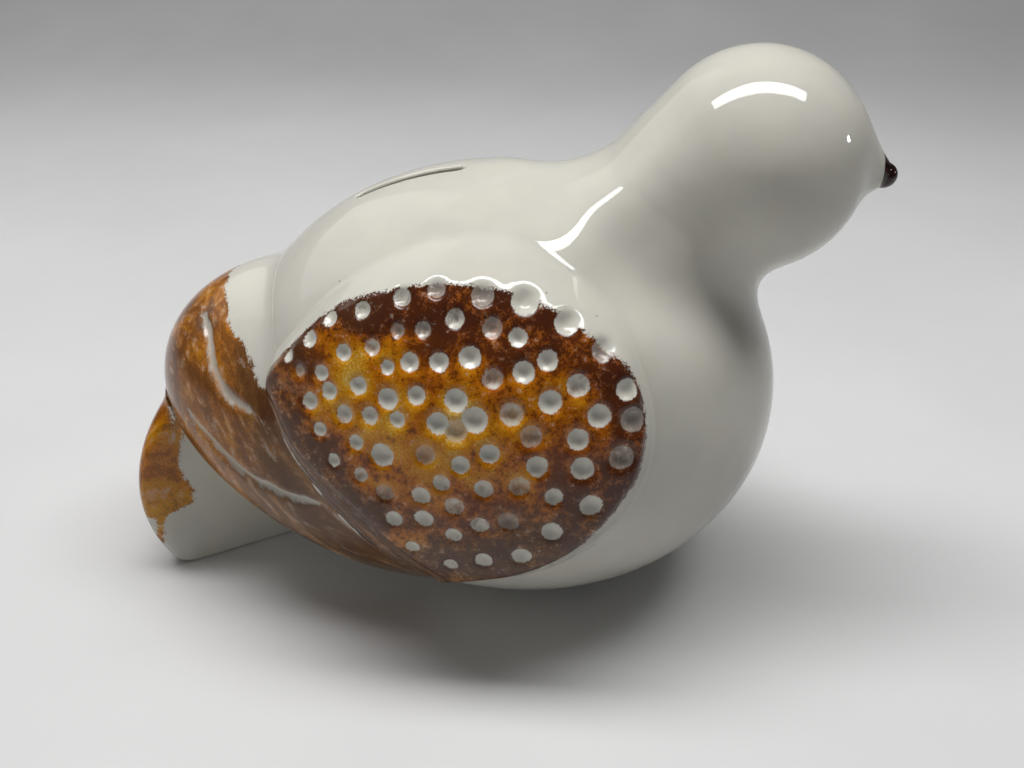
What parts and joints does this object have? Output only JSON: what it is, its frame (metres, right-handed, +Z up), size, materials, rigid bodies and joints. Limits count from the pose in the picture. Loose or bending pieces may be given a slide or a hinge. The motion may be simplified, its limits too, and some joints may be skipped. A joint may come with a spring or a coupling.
{
  "type": "ceramic bird money box",
  "caption": "Hollow glazed ceramic bird money box with a coin slot in its back, dimpled wing pads, feather bands, a fan tail and a rubber bung in the base.",
  "frame": {"origin": "middle of the bounding box in plan, on the surface that the bird stands on", "axes": "+X from tail to beak, +Y the bird's left, +Z up"},
  "size_m": [0.2564, 0.154, 0.1886],
  "materials": {
    "white_glaze": "glossy off-white glaze",
    "mottled_glaze": "glossy glaze over brown, amber and purple-brown sponged colour",
    "bung_rubber": "matt black"
  },
  "bodies": {
    "bank": {"back_shell": "white_glaze", "belly_shell": "white_glaze", "head_shell": "white_glaze", "beak": "white_glaze", "wing_pad_left": "mottled_glaze", "wing_pad_right": "mottled_glaze", "wing_feathers_left": "mottled_glaze", "wing_feathers_right": "mottled_glaze", "tail": "white_glaze"},
    "bung": {"bung": "bung_rubber"}
  },
  "joints": [
    {"name": "bung_pull", "type": "slide", "parent": "bank", "child": "bung", "axis": [0, 0, -1], "range_m": [0, 0.03]}
  ]
}
